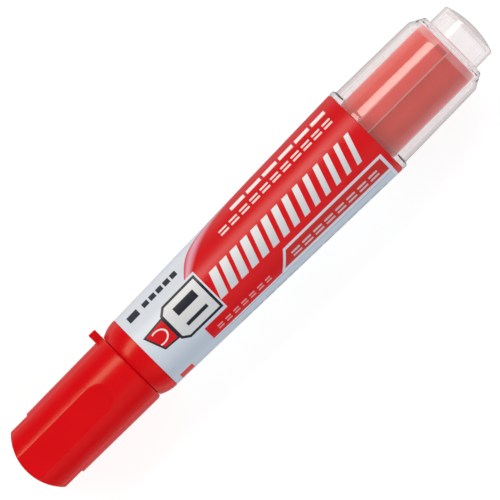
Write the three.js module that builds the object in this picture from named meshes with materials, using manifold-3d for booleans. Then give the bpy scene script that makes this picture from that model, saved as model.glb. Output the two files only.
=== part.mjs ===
// A refillable whiteboard marker with its cap on, lying along X with the cap towards -X.
// Millimetres, +Z up. The origin is on the surface that the marker lies on, below its middle.
// Every piece is built about the X axis, and the whole group is then lifted onto the surface.

import * as THREE from 'three';
import { mergeVertices } from 'three/addons/utils/BufferGeometryUtils.js';
import { ConvexGeometry } from 'three/addons/geometries/ConvexGeometry.js';
import Module from 'manifold-3d';

const wasm = await Module();
wasm.setup();

// ---- Driving dimensions ------------------------------------------------------------------

const LENGTH = 132.4;
const FRONT = -LENGTH / 2;
const REAR = LENGTH / 2;
const SIDES = 32;
const INNER_SIDES = 24;
const FACE_GAP = 0.3;

const CAP_LENGTH = 31;
const CAP_RIM = FRONT + CAP_LENGTH;
const CAP_END_RADIUS = 8.4;
const CAP_RIM_RADIUS = 8.8;
const CAP_END_ARC = 11.6;
const CAP_CHEEK = { reach: 8.14, length: 8.2 };
const CAP_FLAT = { depth: 0.62, length: 20.9, runout: 3.4 };
const CAP_BORE = { start: FRONT + 3.8, front: 6.9, rear: 7.35, step: FRONT + 19.8 };
const TAB = { length: 1.85, width: 4, root: 8 };

const NIB = { tip: FRONT + 5.8, rear: -47.5, width: 4.8, thickness: 3.2, edge: 1.5 };
const HOLDER = { tip: -56.6, radius: 4.9, flange: -45.2, rear: -37, bore: 2.95 };
const LINER = { radius: 6.7, mouth: -46.8, chamber: 5.6, seal: 5.05 };

const NECK = { front: -43.5, radius: 7.1, bore: 6.05 };
const SHOULDER = { face: -34.9, faceRadius: 8.35, top: -31.2, topRadius: 9.45 };
const BARREL_REAR = 34.5;
const LABEL = { front: -30.9, rear: 34.4, frontRadius: 9.42, rearRadius: 11, film: 0.12 };
const LABEL_BED = 0.05;

const CONNECTOR = { front: -30, rear: -10.2, radius: 7.95, wall: -14.6, socket: 7 };
const PIERCER = { tip: -5, radius: 2.2, bore: 1.6 };
const FEED_ROD = { front: -47.2, rear: -6, radius: 1.4 };
const COLLECTOR = { front: -36.6, rear: -15, radius: 5.85, core: 2.4, fins: 11, fin: 0.8, slot: 0.9 };

const CARTRIDGE = { front: -8, rear: 58.8, radius: 7.85, wall: 0.9, end: 1.1 };
const STOPPER = { nose: -12.7, noseRadius: 4.4, flange: -9.8, rear: -2, bore: 2.5 };
const SEAL_RING = { front: -12.2, rear: -10.6, outer: 3.5, inner: 2.3 };
const SEAL_BALL_RADIUS = 2.65;
const INK_FRONT = 0.8;

const COLLAR = { front: 34.8, land: 35.5, rear: 35.9, radius: 11.04 };
const PLUG = { front: 25, skirt: 9.4, bore: 8.1, frontRadius: 10.35, rearRadius: 9.97 };
const PLUG_CHAMFER = { front: 57, rear: 60.1, radius: 8.3 };
const KNOB = { front: 60.25, rear: 65, radius: 6.88, rearRadius: 6.8, hollow: 5.45, wall: 1.9 };

const SEGMENT = (2 * Math.PI) / SIDES;
const AXIS_HEIGHT = COLLAR.radius * Math.cos(SEGMENT / 2);

// ---- Materials ---------------------------------------------------------------------------

function plastic(colour, roughness) {
  return new THREE.MeshStandardMaterial({ color: colour, roughness, metalness: 0 });
}

const RED_PLASTIC = plastic(0xd20e18, 0.32);
const LABEL_PRINT = plastic(0xd6141c, 0.28);
const CLEAR_PLASTIC = plastic(0xe2d8d8, 0.12);
const CARTRIDGE_PLASTIC = plastic(0xe0827a, 0.3);
const WHITE_PLASTIC = plastic(0xeeeeea, 0.4);
const LINER_PLASTIC = plastic(0xe4e2dc, 0.55);
const SEAL_RUBBER = plastic(0x2a2a2c, 0.75);
const RED_INK = plastic(0xc2141a, 0.1);
const NIB_FELT = plastic(0xb3161c, 0.95);
const FEED_FIBRE = plastic(0xc4444a, 0.95);

// ---- Geometry helpers --------------------------------------------------------------------

// Revolves [x, radius] points about the X axis, with a flat side facing each of +Y, -Y, +Z, -Z.
function revolve(profile, sides = SIDES) {
  const points = profile.map(([x, radius]) => new THREE.Vector2(radius, x));
  const geometry = new THREE.LatheGeometry(points, sides, Math.PI / sides);
  return geometry.rotateZ(-Math.PI / 2);
}

// Closes a ring's [x, radius] outline on itself and revolves it.
function revolveRing(outline, sides = SIDES) {
  return revolve([...outline, outline[0]], sides);
}

function toManifold(geometry) {
  const bare = geometry.clone();
  bare.deleteAttribute('normal');
  bare.deleteAttribute('uv');
  const merged = mergeVertices(bare, 1e-4);
  return new wasm.Manifold(new wasm.Mesh({
    numProp: 3,
    vertProperties: Float32Array.from(merged.attributes.position.array),
    triVerts: Uint32Array.from(merged.index.array),
  }));
}

function toGeometry(manifold) {
  const { vertProperties, triVerts } = manifold.getMesh();
  const geometry = new THREE.BufferGeometry();
  geometry.setAttribute('position', new THREE.BufferAttribute(vertProperties, 3));
  geometry.setIndex(new THREE.BufferAttribute(triVerts, 1));
  return geometry;
}

// Points of an arc about a centre, from one angle to another, ends included.
function arc(centreX, centreY, radius, from, to, steps) {
  return Array.from({ length: steps + 1 }, (_, i) => {
    const angle = from + ((to - from) * i) / steps;
    return [centreX + radius * Math.cos(angle), centreY + radius * Math.sin(angle)];
  });
}

// Extrudes a closed [x, y] outline along Z, centred on the XY plane.
function prism(outline, depth) {
  const shape = new THREE.Shape(outline.map(([x, y]) => new THREE.Vector2(x, y)));
  const geometry = new THREE.ExtrudeGeometry(shape, { depth, bevelEnabled: false });
  return geometry.translate(0, 0, -depth / 2);
}

function named(name, geometry, material) {
  const mesh = new THREE.Mesh(geometry, material);
  mesh.name = name;
  return mesh;
}

// ---- Cap ---------------------------------------------------------------------------------

function capRadiusAt(x) {
  return CAP_END_RADIUS + ((CAP_RIM_RADIUS - CAP_END_RADIUS) * (x - FRONT)) / CAP_LENGTH;
}

// The outline seen from above: an arched end, two straight cheeks, then clear of the round.
function capPlanOutline() {
  const clear = 14;
  const halfAngle = Math.asin(CAP_CHEEK.reach / CAP_END_ARC);
  const end = arc(FRONT + CAP_END_ARC, 0, CAP_END_ARC, Math.PI + halfAngle, Math.PI - halfAngle, 14);
  const cheekEnd = FRONT + CAP_CHEEK.length;
  return [
    ...end,
    [cheekEnd, CAP_CHEEK.reach],
    [cheekEnd, clear],
    [CAP_RIM + 1, clear],
    [CAP_RIM + 1, -clear],
    [cheekEnd, -clear],
    [cheekEnd, -CAP_CHEEK.reach],
  ];
}

// What is cut away above the flat: straight along the cap, then curving up and out.
function flatCutter() {
  const steps = 5;
  const flatEnd = FRONT + CAP_FLAT.length;
  const top = 12;
  const runout = Array.from({ length: steps + 1 }, (_, i) => {
    const t = (1.15 * i) / steps;
    const x = flatEnd + t * CAP_FLAT.runout;
    return [x, capRadiusAt(x) - CAP_FLAT.depth * (1 - t * t)];
  });
  const start = [FRONT - 1, capRadiusAt(FRONT - 1) - CAP_FLAT.depth];
  const last = runout[steps];
  const outline = [start, ...runout, [last[0], top], [FRONT - 1, top]];
  return prism(outline, 24).rotateX(Math.PI / 2);
}

function capShell() {
  const rimChamfer = { length: 0.9, depth: 0.3 };
  const round = revolve([
    [FRONT, 0],
    [FRONT, CAP_END_RADIUS],
    [CAP_RIM - rimChamfer.length, capRadiusAt(CAP_RIM - rimChamfer.length)],
    [CAP_RIM, CAP_RIM_RADIUS - rimChamfer.depth],
    [CAP_RIM, 0],
  ]);
  const bore = revolve([
    [CAP_BORE.start, 0],
    [CAP_BORE.start, CAP_BORE.front - 0.6],
    [CAP_BORE.start + 0.6, CAP_BORE.front],
    [CAP_BORE.step, CAP_BORE.front],
    [CAP_BORE.step + 0.8, CAP_BORE.rear],
    [CAP_RIM + 1, CAP_BORE.rear],
    [CAP_RIM + 1, 0],
  ]);
  const tabHeight = AXIS_HEIGHT - TAB.root;
  const tab = new THREE.BoxGeometry(TAB.length, tabHeight, TAB.width);
  tab.translate(CAP_RIM - TAB.length / 2, TAB.root + tabHeight / 2, 0);
  const upperFlat = flatCutter();
  const lowerFlat = upperFlat.clone().rotateX(Math.PI);
  const solid = toManifold(round)
    .intersect(toManifold(prism(capPlanOutline(), 24)))
    .subtract(toManifold(upperFlat))
    .subtract(toManifold(lowerFlat))
    .add(toManifold(tab))
    .subtract(toManifold(bore));
  return toGeometry(solid);
}

// The soft cup pressed into the cap, which closes around the nib holder and keeps the nib wet.
function innerCap() {
  const back = CAP_BORE.start + FACE_GAP;
  const floor = back + 0.8;
  const sealFront = HOLDER.tip + 2.4;
  return revolve([
    [back, 0],
    [back, LINER.radius - 0.8],
    [back + 0.8, LINER.radius],
    [LINER.mouth, LINER.radius],
    [LINER.mouth, LINER.chamber],
    [LINER.mouth - 0.8, LINER.seal],
    [sealFront, LINER.seal],
    [sealFront - 0.6, LINER.chamber],
    [floor, LINER.chamber],
    [floor, 0],
  ], INNER_SIDES);
}

// ---- Writing end -------------------------------------------------------------------------

// A flat nib: a bar with its corners taken off, tapered on both faces to a slanting edge.
function nib() {
  const halfWidth = NIB.width / 2;
  const halfThickness = NIB.thickness / 2;
  const corner = 0.7;
  const taperStart = NIB.tip + 3.4;
  const slant = 2.2;
  const section = [
    [halfWidth, halfThickness - corner],
    [halfWidth - corner, halfThickness],
    [corner - halfWidth, halfThickness],
    [-halfWidth, halfThickness - corner],
  ];
  const outline = [...section, ...section.map(([y, z]) => [-y, -z])];
  const bar = [NIB.rear, taperStart].flatMap((x) =>
    outline.map(([y, z]) => new THREE.Vector3(x, y, z)));
  const edge = [-1, 1].flatMap((side) => [
    new THREE.Vector3(NIB.tip, halfWidth - corner, (side * NIB.edge) / 2),
    new THREE.Vector3(NIB.tip + slant, corner - halfWidth, (side * NIB.edge) / 2),
  ]);
  return new ConvexGeometry([...bar, ...edge]);
}

function nibHolder() {
  const flangeRadius = 6.9;
  const flangeRear = NECK.front - FACE_GAP;
  const stub = NECK.bore - 0.15;
  return revolveRing([
    [HOLDER.tip, HOLDER.bore],
    [HOLDER.tip, 3.5],
    [HOLDER.tip + 3.1, HOLDER.radius],
    [HOLDER.flange, HOLDER.radius],
    [HOLDER.flange, flangeRadius],
    [flangeRear, flangeRadius],
    [flangeRear, stub],
    [HOLDER.rear, stub],
    [HOLDER.rear, 4.7],
    [NIB.rear + 0.6, 3.7],
    [NIB.rear + 0.6, HOLDER.bore],
  ], INNER_SIDES);
}

// The fibre rod that carries ink from the cartridge, through the collector, to the nib.
function feedRod() {
  return revolve([
    [FEED_ROD.front, 0],
    [FEED_ROD.front, FEED_ROD.radius],
    [FEED_ROD.rear, FEED_ROD.radius],
    [FEED_ROD.rear, 0],
  ], 16);
}

// The finned buffer that holds surplus ink: thin discs on a hollow core, with one ink slot.
function collector() {
  const pitch = (COLLECTOR.rear - COLLECTOR.front - COLLECTOR.fin) / (COLLECTOR.fins - 1);
  const outline = [[COLLECTOR.rear, PIERCER.bore], [COLLECTOR.front, PIERCER.bore]];
  for (let i = 0; i < COLLECTOR.fins; i += 1) {
    const face = COLLECTOR.front + i * pitch;
    outline.push([face, COLLECTOR.radius], [face + COLLECTOR.fin, COLLECTOR.radius]);
    if (i < COLLECTOR.fins - 1) {
      outline.push([face + COLLECTOR.fin, COLLECTOR.core], [face + pitch, COLLECTOR.core]);
    }
  }
  const comb = revolveRing(outline, INNER_SIDES);
  const slotDepth = COLLECTOR.radius - COLLECTOR.core;
  const slot = new THREE.BoxGeometry(60, slotDepth, COLLECTOR.slot);
  slot.translate(COLLECTOR.front, COLLECTOR.core + 0.2 + slotDepth / 2, 0);
  return toGeometry(toManifold(comb).subtract(toManifold(slot)));
}

// The inner joint: a sleeve around the collector, a wall across it, and the tube that opens
// the cartridge.
function connector() {
  const wallRear = CONNECTOR.wall + 1.4;
  return revolveRing([
    [CONNECTOR.front, NECK.bore],
    [CONNECTOR.front, CONNECTOR.radius],
    [CONNECTOR.rear, CONNECTOR.radius],
    [CONNECTOR.rear, CONNECTOR.socket],
    [wallRear, CONNECTOR.socket],
    [wallRear, PIERCER.radius],
    [PIERCER.tip - 0.8, PIERCER.radius],
    [PIERCER.tip, PIERCER.bore + 0.2],
    [PIERCER.tip, PIERCER.bore],
    [CONNECTOR.wall, PIERCER.bore],
    [CONNECTOR.wall, NECK.bore],
  ], INNER_SIDES);
}

// ---- Barrel and its label ----------------------------------------------------------------

function labelRadiusAt(x) {
  const run = (x - LABEL.front) / (LABEL.rear - LABEL.front);
  return LABEL.frontRadius + (LABEL.rearRadius - LABEL.frontRadius) * run;
}

// The rounded shoulder: an arc that meets the barrel's side smoothly at its top.
function shoulderArc() {
  const run = SHOULDER.top - SHOULDER.face;
  const rise = SHOULDER.topRadius - SHOULDER.faceRadius;
  const radius = (run * run + rise * rise) / (2 * rise);
  const centre = SHOULDER.topRadius - radius;
  const start = Math.PI / 2 + Math.asin(run / radius);
  return arc(SHOULDER.top, centre, radius, start, Math.PI / 2, 5);
}

function barrel() {
  const bed = LABEL.film + LABEL_BED;
  const ribX = -38;
  return revolveRing([
    [NECK.front, NECK.bore],
    [NECK.front, NECK.radius - 0.3],
    [NECK.front + 0.4, NECK.radius],
    [ribX - 0.8, NECK.radius],
    [ribX - 0.4, NECK.radius + 0.12],
    [ribX + 0.4, NECK.radius + 0.12],
    [ribX + 0.8, NECK.radius],
    [SHOULDER.face, NECK.radius],
    ...shoulderArc(),
    [LABEL.front - 0.1, SHOULDER.topRadius],
    [LABEL.front - 0.1, labelRadiusAt(LABEL.front) - bed],
    [BARREL_REAR, labelRadiusAt(BARREL_REAR) - bed],
    [BARREL_REAR, PLUG.skirt + 0.15],
    [PLUG.front - 0.7, PLUG.skirt + 0.1],
    [PLUG.front - 1.5, 8.75],
    [SHOULDER.top - 0.4, 8.1],
    [SHOULDER.face + 1.7, NECK.bore],
  ]);
}

function barrelLabel() {
  return revolveRing([
    [LABEL.front, LABEL.frontRadius - LABEL.film],
    [LABEL.front, LABEL.frontRadius],
    [LABEL.rear, LABEL.rearRadius],
    [LABEL.rear, LABEL.rearRadius - LABEL.film],
  ]);
}

// ---- Ink cartridge -----------------------------------------------------------------------

function cartridgeBody() {
  const inner = CARTRIDGE.radius - CARTRIDGE.wall;
  return revolve([
    [CARTRIDGE.rear - CARTRIDGE.end, 0],
    [CARTRIDGE.rear - CARTRIDGE.end, inner - 0.5],
    [CARTRIDGE.rear - CARTRIDGE.end - 0.5, inner],
    [CARTRIDGE.front, inner],
    [CARTRIDGE.front, CARTRIDGE.radius],
    [CARTRIDGE.rear - 0.6, CARTRIDGE.radius],
    [CARTRIDGE.rear, CARTRIDGE.radius - 0.6],
    [CARTRIDGE.rear, 0],
  ]);
}

// The stopper pressed into the cartridge's mouth, with a seat for the seal ring in its nose.
function cartridgeStopper() {
  const flangeRear = CARTRIDGE.front - FACE_GAP;
  const ringSeat = SEAL_RING.outer + 0.15;
  const ballPocket = SEAL_BALL_RADIUS + 0.25;
  const pocketFront = PIERCER.tip + 0.4;
  return revolveRing([
    [STOPPER.nose, ringSeat],
    [STOPPER.nose, STOPPER.noseRadius],
    [STOPPER.flange, STOPPER.noseRadius],
    [STOPPER.flange, CARTRIDGE.radius - 0.1],
    [flangeRear, CARTRIDGE.radius - 0.1],
    [flangeRear, CARTRIDGE.radius - CARTRIDGE.wall - 0.12],
    [STOPPER.rear, CARTRIDGE.radius - CARTRIDGE.wall - 0.12],
    [STOPPER.rear, ballPocket],
    [pocketFront, ballPocket],
    [pocketFront, STOPPER.bore],
    [SEAL_RING.rear + FACE_GAP, STOPPER.bore],
    [SEAL_RING.rear + FACE_GAP, ringSeat],
  ], INNER_SIDES);
}

function sealRing() {
  return revolveRing([
    [SEAL_RING.front, SEAL_RING.inner],
    [SEAL_RING.front, SEAL_RING.outer],
    [SEAL_RING.rear, SEAL_RING.outer],
    [SEAL_RING.rear, SEAL_RING.inner],
  ], INNER_SIDES);
}

// The ball that closed the stopper, pushed off its seat by the opening tube.
function sealBall() {
  const ball = new THREE.SphereGeometry(SEAL_BALL_RADIUS, 16, 10);
  return ball.translate(PIERCER.tip + SEAL_BALL_RADIUS + 0.1, 0, 0);
}

function inkCharge() {
  const radius = CARTRIDGE.radius - CARTRIDGE.wall - 0.12;
  const rear = CARTRIDGE.rear - CARTRIDGE.end - 0.2;
  return revolve([
    [INK_FRONT, 0],
    [INK_FRONT, radius],
    [rear - 0.5, radius],
    [rear, radius - 0.5],
    [rear, 0],
  ], INNER_SIDES);
}

// ---- Clear tail plug ---------------------------------------------------------------------

function tailPlug() {
  const domeRise = REAR - KNOB.rear;
  const domeRadius = (KNOB.rearRadius ** 2 + domeRise ** 2) / (2 * domeRise);
  const domeAngle = Math.asin(KNOB.rearRadius / domeRadius);
  const dome = arc(REAR - domeRadius, 0, domeRadius, domeAngle, 0, 5).slice(1, -1);
  const boreEnd = CARTRIDGE.rear + FACE_GAP;
  return revolve([
    [REAR - KNOB.wall, 0],
    [REAR - KNOB.wall, KNOB.hollow],
    [boreEnd, KNOB.hollow],
    [boreEnd, PLUG.bore],
    [PLUG.front, PLUG.bore],
    [PLUG.front, PLUG.skirt - 0.3],
    [PLUG.front + 0.6, PLUG.skirt],
    [COLLAR.front, PLUG.skirt],
    [COLLAR.front, COLLAR.radius],
    [COLLAR.land, COLLAR.radius],
    [COLLAR.rear, PLUG.frontRadius + 0.15],
    [COLLAR.rear, PLUG.frontRadius],
    [PLUG_CHAMFER.front, PLUG.rearRadius],
    [PLUG_CHAMFER.rear, PLUG_CHAMFER.radius],
    [KNOB.front, PLUG_CHAMFER.radius - 0.2],
    [KNOB.front, KNOB.radius],
    [KNOB.rear, KNOB.rearRadius],
    ...dome,
    [REAR, 0],
  ]);
}

// ---- Assembly ----------------------------------------------------------------------------

const capGroup = new THREE.Group();
capGroup.add(
  named('cap_shell', capShell(), RED_PLASTIC),
  named('inner_cap', innerCap(), LINER_PLASTIC),
);

const barrelGroup = new THREE.Group();
barrelGroup.add(
  named('barrel', barrel(), RED_PLASTIC),
  named('barrel_label', barrelLabel(), LABEL_PRINT),
  named('nib', nib(), NIB_FELT),
  named('nib_holder', nibHolder(), WHITE_PLASTIC),
  named('feed_rod', feedRod(), FEED_FIBRE),
  named('ink_collector', collector(), WHITE_PLASTIC),
  named('connector', connector(), WHITE_PLASTIC),
);

const cartridgeGroup = new THREE.Group();
cartridgeGroup.add(
  named('cartridge_body', cartridgeBody(), CARTRIDGE_PLASTIC),
  named('cartridge_stopper', cartridgeStopper(), WHITE_PLASTIC),
  named('seal_ring', sealRing(), SEAL_RUBBER),
  named('seal_ball', sealBall(), WHITE_PLASTIC),
  named('ink_charge', inkCharge(), RED_INK),
);

const plugGroup = new THREE.Group();
plugGroup.add(named('tail_plug', tailPlug(), CLEAR_PLASTIC));

const marker = new THREE.Group();
marker.add(capGroup, barrelGroup, cartridgeGroup, plugGroup);
marker.position.z = AXIS_HEIGHT;

export default marker;
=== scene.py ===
"""A refillable whiteboard marker, capped, seen from straight above on a pale studio floor.

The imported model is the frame. Every piece here stands for one of its nodes, at its place, with the
fine surface and the material that the plain solid leaves out. Lengths are metres unless a name or
comment says millimetres: outlines are lists of (x, radius, corner radius) in millimetres.
"""

from math import asin, cos, hypot, pi, radians, sin, sqrt, tan

import bmesh
import bpy
from mathutils import Matrix, Vector


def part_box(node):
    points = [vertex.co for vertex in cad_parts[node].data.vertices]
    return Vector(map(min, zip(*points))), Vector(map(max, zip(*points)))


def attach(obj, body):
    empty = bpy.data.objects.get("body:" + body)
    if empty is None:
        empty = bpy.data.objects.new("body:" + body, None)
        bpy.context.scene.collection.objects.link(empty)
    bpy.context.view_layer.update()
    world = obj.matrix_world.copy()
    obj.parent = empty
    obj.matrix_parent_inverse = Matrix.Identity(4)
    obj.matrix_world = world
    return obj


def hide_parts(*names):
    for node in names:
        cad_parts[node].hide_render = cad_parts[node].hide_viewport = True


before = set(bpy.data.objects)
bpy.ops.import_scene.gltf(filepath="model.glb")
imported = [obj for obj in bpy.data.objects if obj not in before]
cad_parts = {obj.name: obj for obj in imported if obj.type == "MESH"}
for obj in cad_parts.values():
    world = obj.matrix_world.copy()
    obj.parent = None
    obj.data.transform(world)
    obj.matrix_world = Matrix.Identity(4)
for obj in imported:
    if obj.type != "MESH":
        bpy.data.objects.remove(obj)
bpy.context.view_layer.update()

MM = 0.001

# ---- Places taken from the frame, in millimetres along the axis ---------------------------------


def span(node):
    """A node's first and last x, in millimetres."""
    low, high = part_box(node)
    return low.x / MM, high.x / MM


PLUG_LOW, PLUG_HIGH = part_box("tail_plug")
AXIS_Z = (PLUG_LOW.z + PLUG_HIGH.z) / 2
CAP_FRONT, CAP_RIM = span("cap_shell")
NECK_FRONT, BARREL_REAR = span("barrel")
LABEL_FRONT, LABEL_REAR = span("barrel_label")
PLUG_FRONT, PLUG_REAR = span("tail_plug")
LINER_BACK, LINER_MOUTH = span("inner_cap")
HOLDER_TIP, HOLDER_REAR = span("nib_holder")
NIB_TIP, NIB_REAR = span("nib")
ROD_FRONT, ROD_REAR = span("feed_rod")
COMB_FRONT, COMB_REAR = span("ink_collector")
JOINT_FRONT, PIERCER_TIP = span("connector")
CARTRIDGE_FRONT, CARTRIDGE_REAR = span("cartridge_body")
STOPPER_NOSE, STOPPER_REAR = span("cartridge_stopper")
RING_FRONT, RING_REAR = span("seal_ring")
INK_FRONT, INK_REAR = span("ink_charge")
TAB_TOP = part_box("cap_shell")[1].y / MM

# ---- Mesh helpers --------------------------------------------------------------------------------


def place(x, radius, angle):
    """The point, in metres, at x and radius in millimetres, turned from straight up towards +Y."""
    return (x * MM, radius * MM * sin(angle), AXIS_Z + radius * MM * cos(angle))


def rounded(outline, closed, steps=5):
    """The outline's (x, radius) points, with each corner rounded by its own corner radius."""
    points = []
    last = len(outline) - 1
    for i, (x, radius, size) in enumerate(outline):
        if size == 0 or (not closed and i in (0, last)):
            points.append((x, radius))
            continue
        here = Vector((x, radius))
        back = Vector(outline[i - 1][:2]) - here
        ahead = Vector(outline[(i + 1) % len(outline)][:2]) - here
        reach = min(size / tan(back.angle(ahead) / 2), 0.48 * back.length, 0.48 * ahead.length)
        start = here + back.normalized() * reach
        end = here + ahead.normalized() * reach
        for k in range(steps + 1):
            t = k / steps
            points.append(tuple(start.lerp(here, t).lerp(here.lerp(end, t), t)))
    return points


def even_angles(count):
    return [2 * pi * k / count for k in range(count)]


def skin(name, columns, closed):
    """A closed mesh from one column of points for each angle. Ends on the axis are shared points."""
    rows = len(columns[0])
    verts, row_index = [], []
    for i in range(rows):
        pole = not closed and i in (0, rows - 1)
        first = len(verts)
        if pole:
            verts.append(columns[0][i])
            row_index.append([first] * len(columns))
        else:
            verts.extend(column[i] for column in columns)
            row_index.append([first + k for k in range(len(columns))])
    faces = []
    pairs = list(zip(row_index, row_index[1:]))
    if closed:
        pairs.append((row_index[-1], row_index[0]))
    for low, high in pairs:
        for k in range(len(columns)):
            n = (k + 1) % len(columns)
            corners = list(dict.fromkeys((low[k], low[n], high[n], high[k])))
            faces.append(corners)
    mesh = bpy.data.meshes.new(name)
    mesh.from_pydata(verts, [], faces)
    return finish_mesh(name, mesh)


def finish_mesh(name, mesh):
    """Points the faces out, shades them smooth and puts the mesh in the scene."""
    build = bmesh.new()
    build.from_mesh(mesh)
    bmesh.ops.recalc_face_normals(build, faces=build.faces)
    build.to_mesh(mesh)
    build.free()
    mesh.shade_smooth()
    piece = bpy.data.objects.new(name, mesh)
    bpy.context.scene.collection.objects.link(piece)
    return piece


def even_shading(piece):
    """Keeps broad faces flat-shaded beside small rounded corners."""
    modifier = piece.modifiers.new("even_shading", "WEIGHTED_NORMAL")
    modifier.weight = 100
    modifier.keep_sharp = True


def revolve(name, outline, closed=True, angles=None, shape=None, steps=5):
    """Turns an outline about the axis. shape(x, radius, angle) may change the radius at an angle."""
    points = rounded(outline, closed, steps)
    columns = []
    for angle in angles or even_angles(144):
        column = [(x, shape(x, radius, angle) if shape else radius) for x, radius in points]
        columns.append([place(x, radius, angle) for x, radius in column])
    piece = skin(name, columns, closed)
    even_shading(piece)
    return piece


def smooth_step(low, high, value):
    t = min(max((value - low) / (high - low), 0), 1)
    return t * t * (3 - 2 * t)


def smooth_least(a, b, blend):
    """The smaller of two numbers, rounded off where they meet."""
    near = max(blend - abs(a - b), 0) / blend
    return min(a, b) - near * near * blend / 4


def apply_modifiers(piece):
    """Replaces the piece's mesh with what its modifiers make of it."""
    shown = piece.evaluated_get(bpy.context.evaluated_depsgraph_get())
    mesh = bpy.data.meshes.new_from_object(shown)
    piece.modifiers.clear()
    piece.data = mesh


# ---- Material helpers ----------------------------------------------------------------------------


class Value:
    """A number that a node tree works out. Arithmetic on it adds Math nodes."""

    def __init__(self, tree, socket):
        self.tree = tree
        self.socket = socket

    def math(self, operation, *others, clamp=False):
        node = self.tree.nodes.new("ShaderNodeMath")
        node.operation = operation
        node.use_clamp = clamp
        for slot, value in zip(node.inputs, (self, *others)):
            if isinstance(value, Value):
                self.tree.links.new(value.socket, slot)
            else:
                slot.default_value = value
        return Value(self.tree, node.outputs[0])

    def __add__(self, other):
        return self.math("ADD", other)

    def __sub__(self, other):
        return self.math("SUBTRACT", other)

    def __mul__(self, other):
        return self.math("MULTIPLY", other)

    def __truediv__(self, other):
        return self.math("DIVIDE", other)

    def absolute(self):
        return self.math("ABSOLUTE")

    def most(self, other):
        return self.math("MAXIMUM", other)

    def least(self, other):
        return self.math("MINIMUM", other)

    def wrapped(self, length):
        """Repeats every length, from minus half of it to plus half of it."""
        return self.math("WRAP", length / 2, -length / 2)

    def covers(self, soft=0.05):
        """1 where the distance is below 0, with an edge soft millimetres wide."""
        return self.math("MULTIPLY_ADD", -1 / soft, 0.5, clamp=True)

    def ramp(self, low, high, out_low=0.0, out_high=1.0):
        node = self.tree.nodes.new("ShaderNodeMapRange")
        node.interpolation_type = "SMOOTHSTEP"
        self.tree.links.new(self.socket, node.inputs["Value"])
        ends = {"From Min": low, "From Max": high, "To Min": out_low, "To Max": out_high}
        for name, number in ends.items():
            node.inputs[name].default_value = number
        return Value(self.tree, node.outputs["Result"])


class Paint:
    """A material under construction: its shader, its coordinates and its layers of colour."""

    def __init__(self, name):
        self.material = bpy.data.materials.new(name)
        self.material.use_nodes = True
        self.tree = self.material.node_tree
        self.shader = self.tree.nodes["Principled BSDF"]
        self.place = self.node("ShaderNodeTexCoord").outputs["Object"]

    def node(self, kind, **settings):
        node = self.tree.nodes.new(kind)
        for key, value in settings.items():
            setattr(node, key, value)
        return node

    def set(self, **numbers):
        """Sets the shader's own sockets: roughness=0.3 sets Roughness, coat_weight Coat Weight."""
        for key, value in numbers.items():
            socket = self.shader.inputs[key.replace("_", " ").title().replace("Ior", "IOR")]
            socket.default_value = (*value, 1) if socket.type == "RGBA" else value
        return self

    def axes(self):
        """x, y and the height over the marker's axis, in millimetres."""
        split = self.node("ShaderNodeSeparateXYZ")
        self.tree.links.new(self.place, split.inputs[0])
        x, y, z = (Value(self.tree, out) * 1000 for out in split.outputs)
        return x, y, z - AXIS_Z / MM

    def noise(self, scale, detail=3.0, stretch=None, roughness=0.5):
        """Noise from 0 to 1 with about scale features to the millimetre."""
        mapping = self.node("ShaderNodeMapping")
        size = 1000 * scale
        mapping.inputs["Scale"].default_value = Vector(stretch or (1, 1, 1)) * size
        self.tree.links.new(self.place, mapping.inputs["Vector"])
        texture = self.node("ShaderNodeTexNoise")
        texture.inputs["Scale"].default_value = 1.0
        texture.inputs["Detail"].default_value = detail
        texture.inputs["Roughness"].default_value = roughness
        self.tree.links.new(mapping.outputs[0], texture.inputs["Vector"])
        return Value(self.tree, texture.outputs["Fac"])

    def mix(self, factor, low, high):
        """A colour between two colours, each a socket or three numbers."""
        node = self.node("ShaderNodeMix", data_type="RGBA")
        self.tree.links.new(factor.socket, node.inputs["Factor"])
        for slot, colour in ((node.inputs["A"], low), (node.inputs["B"], high)):
            if isinstance(colour, tuple):
                slot.default_value = (*colour, 1)
            else:
                self.tree.links.new(colour, slot)
        return node.outputs["Result"]

    def colour(self, socket):
        self.tree.links.new(socket, self.shader.inputs["Base Color"])
        return self

    def vary(self, socket_name, value):
        self.tree.links.new(value.socket, self.shader.inputs[socket_name])
        return self

    def bump(self, height, depth):
        """Raises the surface by height, from 0 to 1, times depth in millimetres."""
        node = self.node("ShaderNodeBump")
        node.inputs["Distance"].default_value = depth * MM
        node.inputs["Strength"].default_value = 1.0
        self.tree.links.new(height.socket, node.inputs["Height"])
        self.tree.links.new(node.outputs["Normal"], self.shader.inputs["Normal"])
        return self


def coated(piece, material, slot, body, *nodes):
    """Gives a piece its material, lets it ride on a body and stand for CAD nodes; slot is not used."""
    piece.data.materials.clear()
    piece.data.materials.append(material)
    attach(piece, body)
    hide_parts(*nodes)
    return piece


# ---- Materials -----------------------------------------------------------------------------------

RIB_CENTRE, RIB_HALF, RIB_FLANK = radians(8.0), radians(10.8), radians(0.7)
RED = (0.60, 0.0022, 0.0065)
LABEL_RED = (0.56, 0.0045, 0.0080)


def red_plastic():
    """Glossy moulded plastic: a slight cloudiness in the colour, flow lines and fine handling marks."""
    paint = Paint("red_plastic").set(specular_ior_level=0.3, ior=1.49, specular_tint=(1.0, 0.88, 0.6))
    cloud = paint.noise(0.12, detail=2.0)
    tone = paint.mix(cloud.ramp(0.3, 0.7), RED, (0.58, 0.0018, 0.0055))
    paint.colour(tone)
    flow = paint.noise(0.5, detail=4.0, stretch=(0.25, 1, 1))
    marks = paint.noise(7.0, detail=2.0)
    paint.vary("Roughness", flow.ramp(0.25, 0.75, 0.21, 0.25) + marks.ramp(0.62, 0.8, 0.0, 0.05))
    paint.bump(marks * 0.25 + flow * 0.4, 0.004)
    return paint.material


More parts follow.
